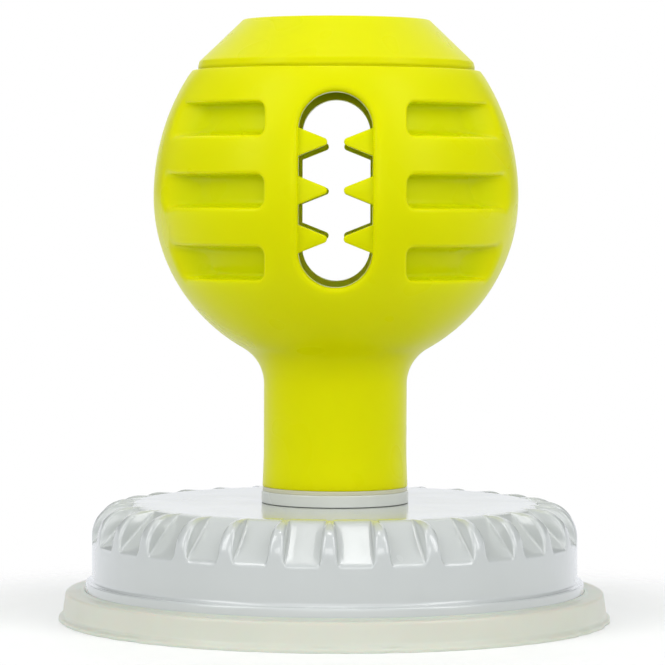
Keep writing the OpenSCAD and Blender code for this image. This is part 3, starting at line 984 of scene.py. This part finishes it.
def knob_rows():
    """Each row is (radius, height, normal), from the hole over the shoulder and under the knob."""
    rows = []
    up, out = Vector((0, 1)), Vector((1, 0))
    hole = rounded([
        (KNOB_HOLE_R, KNOB_UNDER_Z, 0), (KNOB_HOLE_R, KNOB_TOP_Z, 0.4), (FIRST_DISC_R, KNOB_TOP_Z, 0)])
    rows += [(r, z, up) for r, z in hole]
    rows += [(r, KNOB_TOP_Z, up) for r in DISC_ROWS]
    centre = Vector((KNOB_R - KNOB_ROUND, KNOB_TOP_Z - KNOB_ROUND))
    for r, z in arc(*centre, KNOB_ROUND, 90, 0, SHOULDER_STEPS):
        rows.append((r, z, (Vector((r, z)) - centre) / KNOB_ROUND))
    rows += [(KNOB_R, z, out) for z in WALL_ROWS]
    roof_z = KNOB_TOP_Z - KNOB_WALL - ROOF_DROP
    foot_z = box_mm("suction_cup")[1].z + FLANGE_GAP
    foot = rounded([
        (KNOB_R, FOOT_START_Z, 0), (KNOB_R, FLANGE_TOP_Z, 0.8), (FLANGE_R - FLANGE_LEAN, FLANGE_TOP_Z, 0.5),
        (FLANGE_R, foot_z, 0.1), (FLANGE_R - FLANGE_SEAT, foot_z, 0),
        (FLANGE_R - FLANGE_STEP, KNOB_FOOT_Z, 0), (WALL_IN_R, KNOB_FOOT_Z, 0.3), (WALL_IN_R, WALL_TOP_Z, 2),
        (KNOB_ROOF_R, roof_z, 2), (HUB_R, roof_z, 0.3), (HUB_R, KNOB_UNDER_Z, 0),
        (KNOB_HOLE_R, KNOB_UNDER_Z, 0)])
    rows += [(r, z, None) for r, z in foot]
    return rows


# %% How deep the scallop is at a point of the shoulder
def half_width(row_z, radius):
    """Half the scallop's width, drawn in by a round corner at its lower end."""
    end = row_z - SCALLOP_FOOT_Z + END_ROUND
    if radius < KNOB_R - WALL_SKIN or end > SCALLOP_CORNER:
        return SCALLOP_HALF
    end = max(end, 0)
    return SCALLOP_HALF - SCALLOP_CORNER + math.sqrt(SCALLOP_CORNER ** 2 - (SCALLOP_CORNER - end) ** 2)


def scallop_depth(forward, z, normal, across, edge):
    """How far a point is pressed in along its normal, with the scallop's edge at a distance across."""
    from_end = Vector((forward, z)) - Vector((DISC_R, KNOB_TOP_Z))
    above = from_end.dot(FLOOR_NORMAL) / normal.dot(FLOOR_NORMAL)
    full = (above + math.sqrt(above ** 2 + END_ROUND ** 2)) / 2
    if above < -SCALLOP_REACH:
        return 0.0
    rib_round, floor_round = min(RIB_ROUND, full / 2), min(FLOOR_ROUND, full / 2)
    outside = abs(across) - edge
    if outside >= rib_round:
        return 0.0
    if outside > 0:
        return rib_round - math.sqrt(rib_round ** 2 - (rib_round - outside) ** 2)
    if outside > -floor_round:
        return full - floor_round + math.sqrt(floor_round ** 2 - (floor_round + outside) ** 2)
    return full


# %% One sector of the knob
ROUND_SHARES = (0.04, 0.14, 0.3, 0.6, 1.0)


def knob_sector():
    inside = [SCALLOP_HALF - FLOOR_ROUND * s for s in reversed(ROUND_SHARES)]
    outside = [SCALLOP_HALF + RIB_ROUND * s for s in ROUND_SHARES]
    half = [KNEE] + inside + outside
    sector_angle = math.pi / SCALLOPS
    columns = [-1] + [-x for x in reversed(half)] + [0] + half + [1]
    points, faces = [], []
    for radius, z, normal in knob_rows():
        rib_middle = radius * math.sin(sector_angle)
        room = rib_middle - SCALLOP_HALF - RIB_FLAT
        for place, wanted in enumerate(columns):
            if place in (0, len(columns) - 1):
                across = math.copysign(rib_middle, wanted)
            elif radius < DISC_R - SCALLOP_REACH:
                across = wanted * rib_middle / (SCALLOP_HALF + RIB_ROUND + RIB_HALF)
            elif abs(wanted) > SCALLOP_HALF:
                reach = min(RIB_ROUND, room)
                beyond = reach * (abs(wanted) - SCALLOP_HALF) / RIB_ROUND
                across = math.copysign(SCALLOP_HALF + beyond, wanted)
            else:
                across = wanted
            forward = math.sqrt(radius ** 2 - across ** 2)
            depth = 0.0
            if normal is not None and radius > DISC_R - SCALLOP_REACH:
                depth = scallop_depth(forward, z, normal, across, half_width(z, radius))
            push = Vector((0, 0)) if depth == 0 else normal * depth
            points.append((forward - push.x, across, z - push.y))
    width = len(columns)
    rows = len(points) // width
    for r in range(rows - 1):
        for c in range(width - 1):
            a = r * width + c
            faces.append([a, a + 1, a + width + 1, a + width])
    return mesh_object("knob_sector", points, faces)


# %% The tree that sets a sector round the axis
def round_tree():
    tree, given, result = geometry_tree("set_round", [("Count", "Int"), ("Phase", "Float")])
    calc = partial(maths, tree)
    index = node(tree, "GeometryNodeInputIndex").outputs[0]
    share = calc("DIVIDE", index, given["Count"])
    turn = calc("ADD", calc("MULTIPLY", share, math.tau), given["Phase"])
    spots = node(tree, "GeometryNodePoints", {"Count": given["Count"]}).outputs[0]
    turns = node(tree, "FunctionNodeEulerToRotation", {0: vector(tree, 0.0, 0.0, turn)}).outputs[0]
    real = placed(tree, given["Geometry"], spots, turns)
    close_tree(tree, real, result)
    return tree


phase = RIB_PHASE + math.pi / SCALLOPS
knob = finish_mesh(grown(knob_sector(), round_tree(), {"Count": SCALLOPS, "Phase": phase}, "ribbed_knob"))
dress(knob, KNOB_GREY)
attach(knob, "knob")
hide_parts("lock_knob")

# %% [markdown]
# ## The suction cup
# One milky soft moulding: a lip that flares out on the floor, a short wall, a rim with a small bead round
# the knob's flange, and a thin web that the lock pulls up in the middle. The rim stays with the base, so it
# is one turned piece. The web is a second turned piece.

# %% Rim of the cup
cup_low, cup_high = box_mm("suction_cup")
LIP_R = (cup_high.x - cup_low.x) / 2
LIP_EDGE_Z = 0.7
LIP_TOP_Z = 1.6
LIP_TOP_OUT = 0.6
GRIP_R = 56
RIM_R = 59.3
RIM_Z = cup_high.z
BEAD_TOP_Z = RIM_Z + 0.35
BEAD_IN_R = FLANGE_R + 0.03
BEAD_TOP_R = FLANGE_R + 0.1
BEAD_FOOT_R = FLANGE_R + 0.8
SEAT_R = 54.4
SEAT_Z = 3.6
WEB_EDGE_R = 50
WEB_EDGE_Z = 0.9
WEB_JOIN_R = 46
WEB_JOIN_Z = 1.14
JOIN_MIDDLE_Z = 2
CUP_STEPS = 240
cup_outline = rounded([
    (WEB_JOIN_R, JOIN_MIDDLE_Z, 0), (WEB_JOIN_R, WEB_JOIN_Z, 0.1), (WEB_EDGE_R, WEB_EDGE_Z, 0),
    (GRIP_R, 0, 1), (LIP_R, 0, 0.15), (LIP_R, LIP_EDGE_Z, 0.35), (RIM_R + LIP_TOP_OUT, LIP_TOP_Z, 0.8),
    (RIM_R, RIM_Z, 0.7), (BEAD_FOOT_R, RIM_Z, 0.5), (BEAD_TOP_R, BEAD_TOP_Z, 0.04),
    (BEAD_IN_R, BEAD_TOP_Z, 0), (BEAD_IN_R, RIM_Z, 0), (SEAT_R, RIM_Z, 0.3), (SEAT_R, SEAT_Z, 0),
    (WEB_JOIN_R, SEAT_Z, 0.3), (WEB_JOIN_R, JOIN_MIDDLE_Z, 0)])
cup = turned("cup_rim", cup_outline, CUP_STEPS)

# %% Slow waves in the lip's edge
WAVE_BAND = 0.5
WAVE_TOP_Z = 1.2
WAVE_SIZE = 5
WAVE_DEPTH = 1.2
for vertex in cup.data.vertices:
    radius = vertex.co.xy.length
    if radius > (LIP_R - WAVE_BAND) * MM and vertex.co.z < WAVE_TOP_Z * MM:
        wave = noise.noise(Vector((vertex.co.x, vertex.co.y, 0)) / (WAVE_SIZE * MM))
        vertex.co.xy *= 1 - max(0, wave) * WAVE_DEPTH * MM / radius
dress(cup, CUP_CREAM)
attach(cup, "base")
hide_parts("suction_cup")

# %% Web of the cup
WEB_THICK = 0.35
WEB_FLAT_R = 18.5
WEB_FLAT_Z = 1.9
web_outline = rounded([
    (0, WEB_FLAT_Z, 0), (WEB_FLAT_R, WEB_FLAT_Z, 8), (WEB_EDGE_R, WEB_EDGE_Z, 1),
    (WEB_EDGE_R, WEB_EDGE_Z + WEB_THICK, 0.1), (WEB_FLAT_R, WEB_FLAT_Z + WEB_THICK, 8),
    (0, WEB_FLAT_Z + WEB_THICK, 0)])
web = turned("cup_web", web_outline)
dress(web, CUP_CREAM)
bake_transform(web)
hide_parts("cup_centre")

# %% [markdown]
# ## Pieces inside
# The lock's pieces keep their CAD shape, because their fits are exact there. They only get their finishes.

# %% Finishes of the inner pieces
INNER = {"pressure_plate": INNER_WHITE, "thrust_washer": INNER_WHITE, "cam_ring": INNER_WHITE,
         "lift_stud": INNER_WHITE, "pivot_post": COLLAR_GREY, "post_washer": STEEL, "post_screw": STEEL,
         "cross_pin": STEEL, "knob_screws": STEEL}
for name, material in INNER.items():
    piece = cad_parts[name]
    piece.data.materials.clear()
    piece.data.materials.append(material)

# %% [markdown]
# ## Light, floor and camera
# The photograph is a plain product shot: white all round, a tall soft box on each side, a broad panel in
# front and a small light above. The lamps light the colours about as they are written, and the white comes
# from the floor's colour and from what the camera sees of the world.

# %% World and floor
FILL_ABOVE = 0.55
FILL_BELOW = 0.5
FILL_BEHIND = 0.4
HORIZON_BAND = (-0.3, 0.3)
BEHIND_BAND = (0.3, 0.9)


def white_world():
    """White for the camera and for mirrored rays. As light it is softer, and a little brighter behind."""
    world = bpy.data.worlds.new("white_room")
    bpy.context.scene.world = world
    world.use_nodes = True
    tree = world.node_tree
    tree.nodes.clear()
    path = node(tree, "ShaderNodeLightPath").outputs
    shiny = maths(tree, "MAXIMUM", path["Is Glossy Ray"], path["Is Transmission Ray"])
    sky = node(tree, "ShaderNodeTexCoord").outputs["Generated"]
    sky_parts = node(tree, "ShaderNodeSeparateXYZ", {0: sky}).outputs
    fill_level = ramp(tree, sky_parts["Z"], HORIZON_BAND, (FILL_BELOW, FILL_ABOVE), "LINEAR")
    behind = ramp(tree, sky_parts["Y"], BEHIND_BAND, (0.0, FILL_BEHIND), "LINEAR")
    level = maths(tree, "MAXIMUM", shiny, maths(tree, "ADD", fill_level, behind))
    fill = node(tree, "ShaderNodeBackground", {"Color": linear(248, 250, 255), "Strength": level})
    white = node(tree, "ShaderNodeBackground", {"Color": (1, 1, 1, 1), "Strength": 1.0})
    mix = node(tree, "ShaderNodeMixShader",
               {0: path["Is Camera Ray"], 1: fill.outputs[0], 2: white.outputs[0]})
    node(tree, "ShaderNodeOutputWorld", {"Surface": mix.outputs[0]})


white_world()
FLOOR_HALF = 400
floor = mesh_object("floor", [(-FLOOR_HALF, -FLOOR_HALF, 0), (FLOOR_HALF, -FLOOR_HALF, 0),
                              (FLOOR_HALF, FLOOR_HALF, 0), (-FLOOR_HALF, FLOOR_HALF, 0)], [[0, 1, 2, 3]])
FLOOR_WHITE = moulded(
    "floor_white", linear(254, 254, 254), linear(252, 252, 252), (0.6, 0.7), (2, 0.05), patch_size=60)


def fade_out(material, inner, outer):
    """Lets the floor's plate end softly: it is solid inside one radius and clear outside the other."""
    tree = material.node_tree
    place = node(tree, "ShaderNodeTexCoord").outputs["Object"]
    far = node(tree, "ShaderNodeVectorMath", {0: place}, operation="LENGTH").outputs["Value"]
    share = ramp(tree, far, start=(inner * MM, outer * MM), end=(1.0, 0.0))
    tree.links.new(share, tree.nodes["Principled BSDF"].inputs["Alpha"])


fade_out(FLOOR_WHITE, inner=64, outer=130)
floor.data.materials.append(FLOOR_WHITE)
floor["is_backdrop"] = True

# %% Dark cards beside the object
# Only mirrored rays see them, so they darken what the outer edges mirror and nothing else.
CARD_SIDE = 230
CARD_FRONT = -60
CARD_BACK = 420
CARD_FOOT = 85
CARD_TOP = 330
CARD_DARK = moulded(
    "card_dark", linear(90, 92, 92), linear(82, 84, 84), (0.6, 0.7), (2, 0.05), patch_size=60)
for name, x in (("left_card", -CARD_SIDE), ("right_card", CARD_SIDE)):
    corners = [(x, y, z) for y, z in ((CARD_FRONT, CARD_FOOT), (CARD_BACK, CARD_FOOT),
                                      (CARD_BACK, CARD_TOP), (CARD_FRONT, CARD_TOP))]
    card = mesh_object(name, corners, [[0, 1, 2, 3]])
    card.data.materials.append(CARD_DARK)
    card.visible_camera = False
    card.visible_diffuse = False
    card.visible_shadow = False
    card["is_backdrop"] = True


# %% Lamps
def soft_box(name, place, aim, size, power):
    lamp = bpy.data.lights.new(name, "AREA")
    lamp.shape = "RECTANGLE"
    lamp.size, lamp.size_y = size[0] * MM, size[1] * MM
    lamp.energy = power
    stand = bpy.data.objects.new(name, lamp)
    stand.location = Vector(place) * MM
    stand.rotation_euler = (Vector(place) - Vector(aim)).to_track_quat("Z", "Y").to_euler()
    bpy.context.scene.collection.objects.link(stand)


BALL_MIDDLE = (0, 0, BALL_Z)
KEY_FAR = 800
KEY_SIDE = math.radians(56)
KEY_UP = math.radians(33)
for name, side in (("left_light", -1), ("right_light", 1)):
    level = KEY_FAR * math.cos(KEY_UP)
    key_z = BALL_Z + KEY_FAR * math.sin(KEY_UP)
    key_place = (side * level * math.sin(KEY_SIDE), -level * math.cos(KEY_SIDE), key_z)
    soft_box(name, key_place, BALL_MIDDLE, size=(260, 820), power=2.2)
soft_box("front_panel", (0, -900, 330), BALL_MIDDLE, size=(900, 300), power=1.9)
soft_box("top_light", (0, -120, 880), aim=(0, -50, 20), size=(240, 130), power=0.52)

# %% Camera from the photograph
PHOTO = 665
LENS_PX = 3450
HORIZON_Y = 200
AXIS_X = 335.5
LIP_FRONT_Y = 654
CAMERA_BACK = 760
CAMERA_RIGHT = 2.4
ROLL = math.radians(0.2)
pitch = math.atan((PHOTO / 2 - HORIZON_Y) / LENS_PX)
lip_angle = pitch + math.atan((LIP_FRONT_Y - PHOTO / 2) / LENS_PX)
camera_height = (CAMERA_BACK - LIP_R) * math.tan(lip_angle)
yaw = math.atan((AXIS_X - PHOTO / 2) / LENS_PX) + math.atan(CAMERA_RIGHT / CAMERA_BACK)
lens = bpy.data.cameras.new("camera")
lens.sensor_width = 36
lens.lens = LENS_PX / PHOTO * lens.sensor_width
camera = bpy.data.objects.new("camera", lens)
bpy.context.scene.collection.objects.link(camera)
bpy.context.scene.camera = camera
camera.location = Vector((CAMERA_RIGHT, -CAMERA_BACK, camera_height)) * MM
look = Matrix.Rotation(yaw, 4, "Z") @ Matrix.Rotation(math.pi / 2 - pitch, 4, "X")
camera.rotation_euler = (look @ Matrix.Rotation(ROLL, 4, "Z")).to_euler()
print("camera height", round(camera_height, 1), "mm, lens", round(lens.lens, 1), "mm")

bpy.context.scene.view_settings.view_transform = "Standard"
low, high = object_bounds()
print("visual box in mm", [round(side / MM, 1) for side in high - low])
